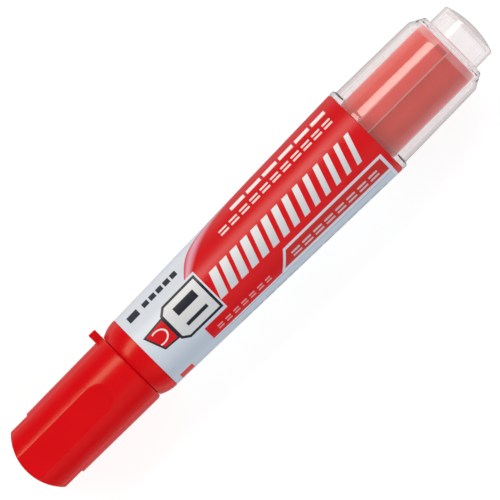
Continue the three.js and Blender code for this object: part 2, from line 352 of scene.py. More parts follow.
def clear_plastic():
    """Clear moulded plastic: smooth glass-like walls that let lamps through to what is inside."""
    paint = Paint("clear_plastic")
    paint.set(base_color=(0.99, 0.98, 0.985), roughness=0.07, ior=1.12, transmission_weight=1.0)
    paint.set(coat_weight=1.0, coat_roughness=0.09, coat_ior=1.65)
    flow = paint.noise(0.22, detail=2.0, stretch=(0.3, 1, 1))
    paint.bump(flow, 0.002)
    # The pink in the haze, and the faint pink in the base and shadow colours, is painted light: red light
    # bounced from the cartridge inside.
    haze = paint.node("ShaderNodeVolumeAbsorption")
    haze.inputs["Color"].default_value = (0.80, 0.73, 0.74, 1)
    haze.inputs["Density"].default_value = 95.0
    through = paint.node("ShaderNodeBsdfTransparent")
    through.inputs["Color"].default_value = (0.99, 0.98, 0.98, 1)
    light = paint.node("ShaderNodeLightPath")
    both = paint.node("ShaderNodeMixShader")
    out = paint.tree.nodes["Material Output"]
    paint.tree.links.new(light.outputs["Is Shadow Ray"], both.inputs[0])
    paint.tree.links.new(paint.shader.outputs[0], both.inputs[1])
    paint.tree.links.new(through.outputs[0], both.inputs[2])
    paint.tree.links.new(both.outputs[0], out.inputs["Surface"])
    paint.tree.links.new(haze.outputs[0], out.inputs["Volume"])
    return paint.material


def cartridge_plastic():
    """Milky plastic that shows the red ink behind it, and is paler at the end wall and the mouth. On the
    rib, light is painted: a paler tint for its reflection, highlight lines along its edges and shade at
    its rear end.
    """
    paint = Paint("cartridge_plastic").set(specular_ior_level=0.3, ior=1.49)
    x, y, z = paint.axes()
    full = (0.72, 0.088, 0.068)
    pale = (0.72, 0.25, 0.25)
    cloud = paint.noise(0.25, detail=3.0)
    inked = paint.mix(cloud.ramp(0.3, 0.7), full, (0.68, 0.080, 0.062))
    rear_wall = x.ramp(INK_REAR - 0.6, INK_REAR - 0.3)
    mouth = x.ramp(INK_FRONT - 0.6, INK_FRONT + 0.4, 1.0, 0.0)
    across = y.math("ARCTAN2", z) - RIB_CENTRE
    on_rib = (across.absolute() - RIB_HALF).covers(0.01)
    # Painted reflection: the rib is tinted paler and pinker, as reflections make it look.
    with_rib_painted_reflection = paint.mix(on_rib * 0.5, inked, (0.70, 0.092, 0.088))
    walled = paint.mix(rear_wall.most(mouth), with_rib_painted_reflection, pale)
    # Painted shade: a darker red patch where the rib reaches the cartridge's rounded rear end.
    rib_end = x.ramp(INK_REAR - 0.7, INK_REAR - 0.5) * x.ramp(INK_REAR + 0.4, INK_REAR + 0.6, 1.0, 0.0)
    with_rib_end_painted_shade = paint.mix(rib_end * on_rib * 0.85, walled, (0.48, 0.045, 0.055))
    # Painted highlights: pale pink lines along the rib's two edges, faint on one and full on the other.
    upper = ((across - RIB_HALF).absolute() - 0.012).covers(0.02) * 0.35
    lower = ((across + RIB_HALF).absolute() - 0.016).covers(0.02)
    paint.colour(paint.mix(upper.most(lower), with_rib_end_painted_shade, (0.80, 0.50, 0.48)))
    grain = paint.noise(0.7, detail=2.0)
    paint.vary("Roughness", grain.ramp(0.3, 0.7, 0.28, 0.36))
    paint.bump(grain, 0.002)
    paint.set(subsurface_weight=0.5, subsurface_radius=(1.0, 0.35, 0.3), subsurface_scale=0.004)
    return paint.material


def pale_plastic(name, colour, shade, roughness, depth):
    """Natural moulded plastic for the inner pieces, tinged by ink in random patches."""
    paint = Paint(name).set(specular_ior_level=0.5)
    cloud = paint.noise(0.35, detail=3.0)
    paint.colour(paint.mix(cloud.ramp(0.35, 0.75), colour, shade))
    grain = paint.noise(5.0, detail=3.0)
    paint.vary("Roughness", grain.ramp(0.3, 0.7, roughness - 0.05, roughness + 0.07))
    paint.bump(grain, depth)
    paint.set(subsurface_weight=0.1, subsurface_radius=(0.5, 0.5, 0.5), subsurface_scale=0.001)
    return paint.material


def fibre(name, dark, light, stretch, depth):
    """Bonded fibre soaked with ink: strands along the axis, darker where they are wetter."""
    paint = Paint(name).set(sheen_weight=0.15, sheen_roughness=0.6, specular_ior_level=0.25)
    strands = paint.noise(4.5, detail=5.0, stretch=stretch, roughness=0.65)
    wet = paint.noise(0.5, detail=2.0)
    blend = strands * 0.75 + wet * 0.35
    paint.colour(paint.mix(blend.ramp(0.35, 0.75), dark, light))
    paint.vary("Roughness", strands.ramp(0.3, 0.7, 0.75, 0.95))
    paint.bump(strands, depth)
    return paint.material


def rubber():
    paint = Paint("seal_rubber").set(specular_ior_level=0.35)
    grain = paint.noise(6.0, detail=3.0)
    paint.colour(paint.mix(grain.ramp(0.3, 0.7), (0.018, 0.018, 0.02), (0.03, 0.03, 0.032)))
    paint.vary("Roughness", grain.ramp(0.3, 0.7, 0.6, 0.78))
    paint.bump(grain, 0.01)
    return paint.material


def liquid_ink():
    paint = Paint("red_ink").set(ior=1.36)
    depth = paint.noise(0.3, detail=2.0)
    paint.colour(paint.mix(depth.ramp(0.3, 0.7), (0.42, 0.004, 0.006), (0.33, 0.003, 0.005)))
    paint.vary("Roughness", depth.ramp(0.3, 0.7, 0.03, 0.07))
    paint.bump(depth, 0.02)
    return paint.material


# ---- The label's printing ------------------------------------------------------------------------

LABEL_RADIUS = 10.2


class Label:
    """The label's artwork. Along is x and across is the distance round from the top line, in
    millimetres, positive towards +Y. All of it is plain shapes: bars, panels and a nib symbol."""

    def __init__(self):
        self.paint = Paint("label_print")
        x, y, z = self.paint.axes()
        self.along = x
        self.across = y.math("ARCTAN2", z) * LABEL_RADIUS
        self.layer = None

    def box(self, low, high, bottom, top, corner=0.0):
        """Distance to a rectangle's edge, below 0 inside it."""
        half = ((high - low) / 2 - corner, (top - bottom) / 2 - corner)
        out_x = (self.along - (low + high) / 2).absolute() - half[0]
        out_s = (self.across - (bottom + top) / 2).absolute() - half[1]
        return out_x.most(out_s) - corner

    def beyond(self, x, s, towards_x, towards_s):
        """Distance past a line through a point, positive on the side that it points towards."""
        length = hypot(towards_x, towards_s)
        forward = (self.along - x) * (towards_x / length)
        return forward + (self.across - s) * (towards_s / length)

    def polygon(self, corners):
        """Distance to a convex outline given anticlockwise, below 0 inside it."""
        outside = None
        for (x0, s0), (x1, s1) in zip(corners, corners[1:] + corners[:1]):
            edge = self.beyond(x0, s0, s1 - s0, x0 - x1)
            outside = edge if outside is None else outside.most(edge)
        return outside

    def lay(self, mask, colour):
        self.layer = self.paint.mix(mask, self.layer, colour)

    def dashes(self, low, high, centre, height, pitch, length, colour, strength=1.0):
        """A row of plain dashes."""
        row = self.box(low, high, centre - height / 2, centre + height / 2)
        dash = (self.along - low - length / 2).wrapped(pitch).absolute() - length / 2
        self.lay(row.most(dash).covers() * strength, colour)

    def silver_ground(self):
        # Painted shade: the silver is darker and bluer towards -Y, the side away from the key light.
        light, deep = (0.60, 0.645, 0.735), (0.45, 0.52, 0.61)
        self.layer = self.paint.mix(self.across.ramp(-9.0, 3.0), deep, light)

    def red_field(self):
        """Red over most of the label, with a swept front edge above and a stepped one below."""
        start = (-14.6, 5.4)
        rise = (self.across - start[1]).most(0.0)
        sweep = rise * (rise.math("POWER", 3.1) * 0.0007 + 0.73) + start[0]
        into = self.along - sweep
        upper = (into * -1.0).most(self.across * -1.0 + start[1])
        middle = self.box(-12.0, 60, -10.1, start[1] + 0.1)
        lower = self.box(-18.7, 60, -10.1, -5.8, corner=0.3)
        self.lay(upper.least(middle).least(lower).covers(), LABEL_RED)
        glow_width = rise * 0.67 + 2.7
        depth = into / glow_width
        glow = depth.ramp(-0.02, 0.3) * depth.ramp(0.3, 1.0, 1.0, 0.0)
        edge = depth.ramp(0.0, 0.35, 0.35, 0.0)
        self.lay(glow.most(edge) * 0.62 * upper.covers(), (0.72, 0.50, 0.66))

    def nib_symbol(self):
        """A flat nib and its holder, with a thick and a thin line as it would draw them."""
        dark, white = (0.018, 0.02, 0.03), (0.62, 0.635, 0.67)
        nib = [(-29.4, 2.5), (-27.5, -2.85), (-23.4, -3.15), (-23.4, 3.05)]
        tip = self.polygon(nib)
        self.lay(tip.covers(), dark)
        self.lay((tip + 0.42).covers(), (0.56, 0.004, 0.009))
        reach = (self.along + 26.7).math("POWER", 2.0) + ((self.across - 0.1) * 1.25).math("POWER", 2.0)
        stroke = (reach.math("SQRT") - 2.0).absolute() - 0.19
        open_end = (self.along + 27.5) * -1.0
        self.lay(stroke.most(open_end).covers(0.12), (0.75, 0.72, 0.72))
        left = [(-21.9, 4.8), (-23.6, 3.3), (-23.6, -3.6), (-21.9, -4.98)]
        holder = self.polygon([*left, (-12.4, -4.98), (-12.4, 4.8)])
        self.lay(holder.covers(), dark)
        self.lay((holder + 0.62).covers(), white)
        # Painted shade: the white inside the holder greys towards -Y, away from the key light.
        self.lay((holder + 0.62).covers() * self.across.ramp(-4.0, 4.5, 0.45, 0.0), (0.42, 0.44, 0.48))
        for centre, half in ((1.55, 1.05), (-2.2, 0.42)):
            line = self.box(-20.6, -14.7, centre - half, centre + half)
            self.lay(line.covers(), dark)

    def title_bars(self):
        """A band of leaning silver bars, slightly narrower towards the tail."""
        top = (self.across + 0.5).absolute() - 3.05
        lean = self.along - self.across * 0.35
        ends = (lean - 10.1).absolute() - 20.9
        pitch = 3.05
        half = lean.ramp(-12.0, 34.0, 1.05, 0.62)
        bar = (lean + 9.6).wrapped(pitch).absolute() - half
        # Painted shade and highlight: the bars' silver is lighter towards +Y, where the key light falls,
        # and darker towards -Y.
        shade = self.paint.mix(self.across.ramp(-3.0, 3.0), (0.50, 0.53, 0.58), (0.70, 0.71, 0.74))
        self.lay(top.most(ends).most(bar).covers(), shade)

    def small_rows(self):
        """Plain bars and dashes where a label carries its small print."""
        ink, white, pink = (0.03, 0.035, 0.05), (0.80, 0.76, 0.78), (0.70, 0.33, 0.34)
        self.lay(self.box(-28.9, -26.0, 7.6, 9.9, corner=0.6).covers(), ink)
        self.dashes(-24.6, -14.3, 8.75, 1.7, 2.1, 1.6, ink)
        self.dashes(2.8, 31.6, 10.2, 1.25, 4.85, 4.1, white, 0.95)
        grey = (0.55, 0.47, 0.52)
        for offset in (0.5, -0.5):
            self.dashes(-2.4, 31.6, 7.15 + offset, 0.5, 3.1, 2.3, white, 0.85)
            self.dashes(-16.4, -1.2, -8.3 + offset * 0.8, 0.42, 2.3, 1.5, pink, 0.8)
            self.dashes(5.4, 30.8, -8.0 + offset, 0.5, 3.2, 2.4, grey, 0.9)

    def framed_panel(self):
        """A panel of deeper red with a silver edge and a leaning front end."""
        silver = (0.56, 0.58, 0.66)
        panel = self.box(-4.0, 33.2, -10.2, -5.2)
        lean = self.beyond(4.6, -5.3, -1, 0.74)
        shape = panel.most(lean)
        self.lay(shape.covers(), silver)
        self.lay((shape + 0.62).covers(), (0.50, 0.021, 0.019))
        self.lay(self.box(32.45, 33.2, -14.5, -5.4).covers(), silver)

    def lower_band(self):
        """The silver band below the red, its dark rule, and a small red block."""
        band = self.box(-18.7, 32.5, -10.55, -10.05)
        self.lay(band.covers(), (0.58, 0.62, 0.70))
        self.lay(self.box(-18.7, 32.5, -10.72, -10.58).covers(), (0.16, 0.18, 0.22))
        self.lay(self.box(33.15, 60, -32.5, -10.0).covers(), LABEL_RED)
        self.lay(self.box(-29.2, -25.7, -14.2, -11.2, corner=0.3).covers(), (0.58, 0.02, 0.015))
        for row in range(5):
            centre = -14.2 - 1.7 * row
            self.dashes(-12.0, 30.0 - 4.0 * row, centre, 0.5, 3.4, 2.7, (0.05, 0.055, 0.07), 0.85)

    def finish(self):
        """Glossy film: faint ripples from its shrinking, and a lap where its ends meet."""
        paint = self.paint
        paint.colour(self.layer)
        paint.set(specular_ior_level=0.3, ior=1.5)
        ripple = paint.noise(0.18, detail=2.0, stretch=(0.35, 1, 1))
        grain = paint.noise(6.0, detail=2.0)
        paint.vary("Roughness", ripple.ramp(0.25, 0.75, 0.26, 0.34) + grain.ramp(0.6, 0.8, 0.0, 0.04))
        lap = (self.across.absolute() - pi * LABEL_RADIUS + 2.2).ramp(-0.12, 0.12)
        paint.bump(ripple * 0.5 + grain * 0.05 + lap * 1.5, 0.02)
        return paint.material


def label_print():
    label = Label()
    label.silver_ground()
    label.red_field()
    label.title_bars()
    label.framed_panel()
    label.lower_band()
    label.small_rows()
    label.nib_symbol()
    return label.finish()


# ---- Cap -----------------------------------------------------------------------------------------

CAP_END_RADIUS, CAP_RIM_RADIUS = 8.40, 8.80
CAP_ARC = 11.6
CHEEK_REACH, CHEEK_LENGTH = 8.14, 8.2
FLAT_DEPTH, FLAT_LENGTH, FLAT_RUNOUT = 0.62, 20.9, 3.4
END_ZONE = 4.6
TAB_LENGTH, TAB_WIDTH = 1.85, 4.0


def cap_round(x):
    """The cap's radius before its flats are cut."""
    return CAP_END_RADIUS + (CAP_RIM_RADIUS - CAP_END_RADIUS) * (x - CAP_FRONT) / (CAP_RIM - CAP_FRONT)


def cap_side(x, angle):
    """The cap's radius at an angle: round, less the two flats and the two cheeks by the end."""
    blend = 0.05
    radius = cap_round(x)
    run = max(x - CAP_FRONT - FLAT_LENGTH, 0) / FLAT_RUNOUT
    flat = radius - FLAT_DEPTH * (1 - run * run)
    cheek = CHEEK_REACH + 2 * smooth_step(0, 0.3, x - CAP_FRONT - CHEEK_LENGTH)
    if abs(cos(angle)) > 0.05:
        radius = smooth_least(radius, flat / abs(cos(angle)), blend)
    if abs(sin(angle)) > 0.05:
        radius = smooth_least(radius, cheek / abs(sin(angle)), blend)
    return radius


def cap_end(radius, angle):
    """x on the arched end, which is straight from top to bottom and curved from side to side."""
    reach = min(abs(radius * sin(angle)), CAP_ARC * 0.99)
    return CAP_FRONT + CAP_ARC - sqrt(CAP_ARC ** 2 - reach ** 2)


def cap_rows():
    """Places along the cap's side behind its end, closer together where its shape changes."""
    step = [CHEEK_LENGTH + d for d in (-0.1, 0, 0.03, 0.06, 0.09, 0.12, 0.16, 0.2, 0.25, 0.3, 0.5)]
    runout = [FLAT_LENGTH + 0.16 * k for k in range(26)]
    marks = [END_ZONE, 5.8, 7, *step, 11, 13, 15, 17, 19, 20.2, *runout, 26.5, 28, 29.3, 29.9]
    return [CAP_FRONT + mark for mark in marks]


def cap_angles():
    """Angles round the cap, closer at the edges of the flats and cheeks."""
    flat_edge = 22.2
    cheek_edge = 15.7
    edges = [c + s * flat_edge for c in (0, 180) for s in (-1, 1)]
    edges += [c + s * cheek_edge for c in (90, 270) for s in (-1, 1)]
    fine = [e + 0.35 * k for e in edges for k in range(-6, 7)]
    coarse = [2.25 * k for k in range(160)]
    angles = sorted({round(a % 360, 3) for a in fine + coarse})
    kept = [a for a, b in zip(angles, angles[1:] + [360 + angles[0]]) if b - a > 0.12]
    return [radians(a) for a in kept]


def cap_corner(angle):
    """The rounded corner between the cap's end and its side, from the end's last point."""
    corner = CAP_END_RADIUS
    for _ in range(8):
        corner = cap_side(cap_end(corner, angle), angle)
    here = Vector((cap_end(corner, angle), corner))
    back = Vector((cap_end(corner - 0.5, angle), corner - 0.5)) - here
    ahead = Vector((here.x + 1, cap_side(here.x + 1, angle))) - here
    reach, steps = 0.38, 6
    start = here + back.normalized() * reach
    end = here + ahead.normalized() * reach
    shares = [k / steps for k in range(steps + 1)]
    return [start.lerp(here, t).lerp(here.lerp(end, t), t) for t in shares]


def cap_column(angle):
    """The cap's profile at an angle: arched end, side, rim, bore and the bore's end."""
    corner = cap_corner(angle)
    end_rows, bore_front, bore_rear = 15, 6.9, 7.35
    radii = [corner[0].y * k / end_rows for k in range(end_rows)]
    column = [(cap_end(radius, angle), radius) for radius in radii]
    column += [(x, radius) for x, radius in corner]
    first, last = corner[-1].x + 0.15, CAP_FRONT + END_ZONE
    side = [first + (last - first) * k / 5 for k in range(5)] + cap_rows()
    column += [(x, cap_side(x, angle)) for x in side]
    rim = [(0.8, 0), (0.45, 0.07), (0.15, 0.2), (0, 0.36)]
    column += [(CAP_RIM - back, cap_side(CAP_RIM - back, angle) - inset) for back, inset in rim]
    bore = [
        (CAP_RIM, bore_rear + 0.4, 0), (CAP_RIM - 0.4, bore_rear, 0.2), (CAP_FRONT + 20.6, bore_rear, 0.3),
        (CAP_FRONT + 19.8, bore_front, 0.3), (CAP_FRONT + 3.8, bore_front, 0.6), (CAP_FRONT + 3.8, 0, 0),
    ]
    column += rounded(bore, False)
    return [place(x, radius, angle) for x, radius in column]


def tab_block():
    """The anti-roll tab, with small rounded edges, rooted inside the cap's wall."""
    root = 8.1
    size = Vector((TAB_LENGTH, TAB_TOP - root, TAB_WIDTH)) * MM
    centre = Vector(((CAP_RIM - TAB_LENGTH / 2) * MM, (TAB_TOP + root) / 2 * MM, AXIS_Z))
    build = bmesh.new()
    bmesh.ops.create_cube(build, size=1.0)
    bmesh.ops.scale(build, vec=size, verts=build.verts)
    bmesh.ops.translate(build, vec=centre, verts=build.verts)
    bmesh.ops.bevel(build, geom=list(build.edges), offset=0.22 * MM, segments=3, profile=0.5,
                    affect="EDGES", clamp_overlap=True)
    mesh = bpy.data.meshes.new("cap_tab")
    build.to_mesh(mesh)
    build.free()
    return finish_mesh("cap_tab", mesh)


def cap_shell(material):
    """The red cap, with its tab fused on."""
    cap = skin("cap_shell_moulding", [cap_column(angle) for angle in cap_angles()], False)
    tab = tab_block()
    join = cap.modifiers.new("join_tab", "BOOLEAN")
    join.operation = "UNION"
    join.solver = "EXACT"
    join.object = tab
    apply_modifiers(cap)
    bpy.data.objects.remove(tab)
    cap.data.shade_smooth()
    even_shading(cap)
    return coated(cap, material, "red_plastic", "cap", "cap_shell")


def inner_cap(material):
    """The soft cup that seals around the nib holder."""
    inner_end = LINER_BACK + 0.8
    outer, chamber, seal = 6.7, 5.6, 5.05
    outline = [
        (LINER_BACK, 0, 0), (LINER_BACK, outer, 0.8), (LINER_MOUTH, outer, 0.25),
        (LINER_MOUTH, chamber, 0.2), (LINER_MOUTH - 0.8, seal, 0.3), (HOLDER_TIP + 2.4, seal, 0.3),
        (HOLDER_TIP + 1.8, chamber, 0.3), (inner_end, chamber, 0.5), (inner_end, 0, 0),
    ]
    cup = revolve("inner_cap_liner", outline, closed=False)
    return coated(cup, material, "liner_plastic", "cap", "inner_cap")


# ---- Writing end ---------------------------------------------------------------------------------


def nib(material):
    """The flat nib: a bar with rounded corners, tapered to a slanting edge worn slightly round."""
    half_width, half_thick, corner, edge, slant = 2.4, 1.6, 0.7, 0.75, 2.2
    section = [
        (half_width, half_thick - corner), (half_width - corner, half_thick),
        (corner - half_width, half_thick), (-half_width, half_thick - corner),
    ]
    section += [(-y, -z) for y, z in section]
    points = [(x, y, z) for x in (NIB_REAR, NIB_TIP + 3.4) for y, z in section]
    points += [(NIB_TIP, half_width - corner, s * edge) for s in (-1, 1)]
    points += [(NIB_TIP + slant, corner - half_width, s * edge) for s in (-1, 1)]
    build = bmesh.new()
    for x, y, z in points:
        build.verts.new((x * MM, y * MM, AXIS_Z + z * MM))
    bmesh.ops.convex_hull(build, input=build.verts)
    bmesh.ops.dissolve_limit(build, angle_limit=radians(1), verts=build.verts, edges=build.edges)
    bmesh.ops.bevel(build, geom=list(build.edges), offset=0.16 * MM, segments=3, profile=0.5,
                    affect="EDGES", clamp_overlap=True)
    mesh = bpy.data.meshes.new("nib")
    build.to_mesh(mesh)
    build.free()
    piece = finish_mesh("flat_nib", mesh)
    even_shading(piece)
    return coated(piece, material, "nib_felt", "barrel", "nib")


def nib_holder(material):
    """The mouthpiece: a bored cone that grips the nib, a flange, and a stub for the neck."""
    bore, barrel_radius, flange_radius, stub = 2.95, 4.9, 6.9, 5.9
    flange, flange_rear = -45.2, NECK_FRONT - 0.3
    grip_end = NIB_REAR + 0.6
    outline = [
        (HOLDER_TIP, bore, 0.1), (HOLDER_TIP, 3.5, 0.2), (HOLDER_TIP + 3.1, barrel_radius, 0.8),
        (flange, barrel_radius, 0.25), (flange, flange_radius, 0.2), (flange_rear, flange_radius, 0.2),
        (flange_rear, stub, 0.1), (HOLDER_REAR, stub, 0.2), (HOLDER_REAR, 4.7, 0.15),
        (grip_end, 3.7, 0.2), (grip_end, bore, 0.1),
    ]
    holder = revolve("nib_mouthpiece", outline)
    return coated(holder, material, "white_plastic", "barrel", "nib_holder")


def feed_rod(material):
    """A round rod, fluted by the strands on its outside."""
    rod_radius, ripple, flutes = 1.4, 0.03, 12
    outline = [
        (ROD_FRONT, 0, 0), (ROD_FRONT, rod_radius, 0.15), (ROD_REAR, rod_radius, 0.5), (ROD_REAR, 0, 0),
    ]

    def strands(x, radius, angle):
        fluted = radius * (1 - ripple + ripple * cos(flutes * angle))
        return fluted if radius > 1.2 else radius

    rod = revolve("feed_rod_fibre", outline, closed=False, angles=even_angles(72), shape=strands)
    return coated(rod, material, "feed_fibre", "barrel", "feed_rod")


def ink_collector(material):
    """Thin fins on a hollow core, all cut by one lengthwise ink slot."""
    core, outer, bore, fin, fins = 2.4, 5.85, 1.6, 0.8, 11
    slot_half = 0.45
    pitch = (COMB_REAR - COMB_FRONT - fin) / (fins - 1)
    outline = [(COMB_REAR, bore, 0.05), (COMB_FRONT, bore, 0.05)]
    for k in range(fins):
        face = COMB_FRONT + k * pitch
        outline += [(face, outer, 0.12), (face + fin, outer, 0.12)]
        if k < fins - 1:
            outline += [(face + fin, core, 0.15), (face + pitch, core, 0.15)]
    edge = asin(slot_half / outer)
    slot_edges = [pi / 2 + s * edge * f for s in (-1, 1) for f in (0.9, 1.1)]
    angles = sorted(even_angles(96) + slot_edges)

    def slotted(x, radius, angle):
        in_slot = sin(angle) > 0 and abs(radius * cos(angle)) < slot_half
        return min(radius, core + 0.2) if in_slot else radius

    comb = revolve("ink_collector_comb", outline, angles=angles, shape=slotted, steps=2)
    return coated(comb, material, "white_plastic", "barrel", "ink_collector")


def connector(material):
    """A sleeve with a wall across it, and a tube on the wall that opens the cartridge."""
    wall, wall_rear, rear = -14.6, -13.2, -10.2
    sleeve, chamber, socket, tube, tube_bore = 7.95, 6.05, 7.0, 2.2, 1.6
    outline = [
        (JOINT_FRONT, chamber, 0.2), (JOINT_FRONT, sleeve, 0.4), (rear, sleeve, 0.2),
        (rear, socket, 0.2), (wall_rear, socket, 0.4), (wall_rear, tube, 0.3),
        (PIERCER_TIP - 0.8, tube, 0.2), (PIERCER_TIP, 1.8, 0.08), (PIERCER_TIP, tube_bore, 0.05),
        (wall, tube_bore, 0.1), (wall, chamber, 0.4),
    ]
    joint = revolve("inner_joint", outline)
    return coated(joint, material, "white_plastic", "barrel", "connector")


# ---- Barrel and label ----------------------------------------------------------------------------

SHOULDER_FACE, SHOULDER_TOP = -35.12, -31.2
SHOULDER_FACE_RADIUS, SHOULDER_TOP_RADIUS = 8.35, 9.45
LABEL_FRONT_RADIUS, LABEL_REAR_RADIUS, FILM = 9.42, 11.0, 0.12


def label_radius(x):
    share = (x - LABEL_FRONT) / (LABEL_REAR - LABEL_FRONT)
    return LABEL_FRONT_RADIUS + (LABEL_REAR_RADIUS - LABEL_FRONT_RADIUS) * share


def shoulder(count=14):
    """The rounded shoulder, an arc that runs smoothly into the barrel's side."""
    run, rise = SHOULDER_TOP - SHOULDER_FACE, SHOULDER_TOP_RADIUS - SHOULDER_FACE_RADIUS
    arc = (run ** 2 + rise ** 2) / (2 * rise)
    points = []
    for k in range(count + 1):
        back = run * (1 - k / count)
        radius = SHOULDER_TOP_RADIUS - arc + sqrt(arc ** 2 - back ** 2)
        points.append((SHOULDER_TOP - back, radius, 0.25 if k == 0 else 0))
    return points


def barrel(material):
    """The tapered tube, with a neck that goes into the cap and a shallow bed for the label."""
    neck, neck_bore = 7.1, 6.05
    ridge, ridge_radius = -38.0, neck + 0.12
    bed, bed_front = FILM + 0.05, LABEL_FRONT - 0.1
    outline = [
        (NECK_FRONT, neck_bore, 0.2), (NECK_FRONT, neck, 0.4), (ridge - 0.8, neck, 0.3),
        (ridge - 0.4, ridge_radius, 0.2), (ridge + 0.4, ridge_radius, 0.2), (ridge + 0.8, neck, 0.3),
        (SHOULDER_FACE, neck, 0.3), *shoulder(), (bed_front, SHOULDER_TOP_RADIUS, 0.06),
        (bed_front, label_radius(LABEL_FRONT) - bed, 0),
        (BARREL_REAR, label_radius(BARREL_REAR) - bed, 0.2), (BARREL_REAR, 9.55, 0.2),
        (24.3, 9.5, 0.3), (23.5, 8.75, 0.3), (-31.6, 8.1, 0.8), (-33.2, neck_bore, 0.8),
    ]
    tube = revolve("barrel_moulding", outline, angles=even_angles(192))
    return coated(tube, material, "red_plastic", "barrel", "barrel")


def barrel_label(material):
    """The film round the barrel. The lap of its two ends is in its material, underneath."""
    steps = 24
    xs = [LABEL_FRONT + (LABEL_REAR - LABEL_FRONT) * k / steps for k in range(steps + 1)]
    outer = [(x, label_radius(x), 0) for x in xs]
    inner = [(x, label_radius(x) - FILM, 0) for x in reversed(xs)]
    film = revolve("printed_label_film", inner + outer, angles=even_angles(192))
    return coated(film, material, "label_print", "barrel", "barrel_label")


# ---- Cartridge -----------------------------------------------------------------------------------

CARTRIDGE_RADIUS, CARTRIDGE_WALL = 7.85, 0.9
MOUTH_FIT = CARTRIDGE_RADIUS - CARTRIDGE_WALL - 0.12


def ribbed(x, radius, angle):
    """Raises a broad flat rib along the cartridge, a little to one side of the top line."""
    if radius < CARTRIDGE_RADIUS - 0.4:
        return radius
    off = abs((angle - RIB_CENTRE + pi) % (2 * pi) - pi)
    flat = (CARTRIDGE_RADIUS + 0.02) * cos(RIB_HALF * 0.2) / max(cos(off), 0.9)
    lift = 1 - smooth_step(RIB_HALF - RIB_FLANK, RIB_HALF, off)
    return radius + lift * max(flat - CARTRIDGE_RADIUS + 0.075, 0)


def cartridge_body(material):
    """The ink tube, closed at its tail with a shallow dimple, and with the rib along it."""
    inner = CARTRIDGE_RADIUS - CARTRIDGE_WALL
    end, dimple = CARTRIDGE_REAR - 1.1, CARTRIDGE_REAR - 0.35
    outline = [
        (end, 0, 0), (end, inner, 0.5), (CARTRIDGE_FRONT, inner, 0.15),
        (CARTRIDGE_FRONT, CARTRIDGE_RADIUS, 0.2), (CARTRIDGE_REAR, CARTRIDGE_RADIUS, 0.7),
        (CARTRIDGE_REAR, 3.2, 0.4), (dimple, 2.8, 0.3), (dimple, 0, 0),
    ]
    flank = [RIB_HALF - RIB_FLANK * share for share in (0, 0.25, 0.5, 0.75, 1)]
    edges = [RIB_CENTRE + side * turn for side in (-1, 1) for turn in flank]
    angles = sorted({round(a % (2 * pi), 5) for a in even_angles(144) + edges})
    tube = revolve("cartridge_tube", outline, closed=False, angles=angles, shape=ribbed)
    return coated(tube, material, "cartridge_plastic", "cartridge", "cartridge_body")


def cartridge_stopper(material):
    """The mouth's stopper: a nose with a seat for the ring, a flange, and a bored plug."""
    flange, flange_rear, flange_radius = -9.8, CARTRIDGE_FRONT - 0.3, 7.75
    nose, ring_seat, bore, ball_seat = 4.4, 3.65, 2.5, 2.9
    ring_end, ball_end = RING_REAR + 0.3, -4.6
    outline = [
        (STOPPER_NOSE, ring_seat, 0.1), (STOPPER_NOSE, nose, 0.25), (flange, nose, 0.3),
        (flange, flange_radius, 0.2), (flange_rear, flange_radius, 0.2), (flange_rear, MOUTH_FIT, 0.1),
        (STOPPER_REAR, MOUTH_FIT, 0.4), (STOPPER_REAR, ball_seat, 0.2), (ball_end, ball_seat, 0.1),
        (ball_end, bore, 0.1), (ring_end, bore, 0.1), (ring_end, ring_seat, 0.1),
    ]
    stopper = revolve("mouth_stopper", outline)
    return coated(stopper, material, "white_plastic", "cartridge", "cartridge_stopper")


def seal_ring(material):
    """A ring with a rounded section."""
    inner, outer = 2.3, 3.5
    middle = (RING_FRONT + RING_REAR) / 2
    outline = [
        (RING_FRONT, inner, 0.35), (RING_FRONT, outer, 0.35), (middle, outer + 0.03, 0),
        (RING_REAR, outer, 0.35), (RING_REAR, inner, 0.35),
    ]
    ring = revolve("nose_seal_ring", outline, angles=even_angles(96), steps=6)
    return coated(ring, material, "seal_rubber", "cartridge", "seal_ring")


def seal_ball(material):
    """A moulded ball with a faint belt where its mould halves met."""
    front, rear = span("seal_ball")
    centre, radius, belt = (front + rear) / 2, (rear - front) / 2, 0.03
    rows = 24
    outline = [(front, 0, 0)]
    for k in range(1, rows):
        turn = pi * k / rows
        girth = radius if k == rows // 2 else radius - belt
        outline.append((centre - radius * cos(turn), girth * sin(turn), 0))
    outline.append((rear, 0, 0))
    ball = revolve("pushed_in_ball", outline, closed=False, angles=even_angles(48))
    return coated(ball, material, "white_plastic", "cartridge", "seal_ball")


def ink_charge(material):
    outline = [
        (INK_FRONT, 0, 0), (INK_FRONT, MOUTH_FIT, 0.5), (INK_REAR, MOUTH_FIT, 0.5), (INK_REAR, 0, 0),
    ]
    ink = revolve("ink_fill", outline, closed=False, angles=even_angles(96))
    return coated(ink, material, "red_ink", "cartridge", "ink_charge")


# ---- Tail plug -----------------------------------------------------------------------------------


def dome(rim_x, rim_radius, count=10):
    """The knob's domed end, from its rim to the axis."""
    rise = PLUG_REAR - rim_x
    sphere = (rim_radius ** 2 + rise ** 2) / (2 * rise)
    points = []
    for k in range(count + 1):
        radius = rim_radius * (1 - k / count)
        x = PLUG_REAR - sphere + sqrt(sphere ** 2 - radius ** 2)
        points.append((x, radius, 0.7 if k == 0 else 0))
    return points


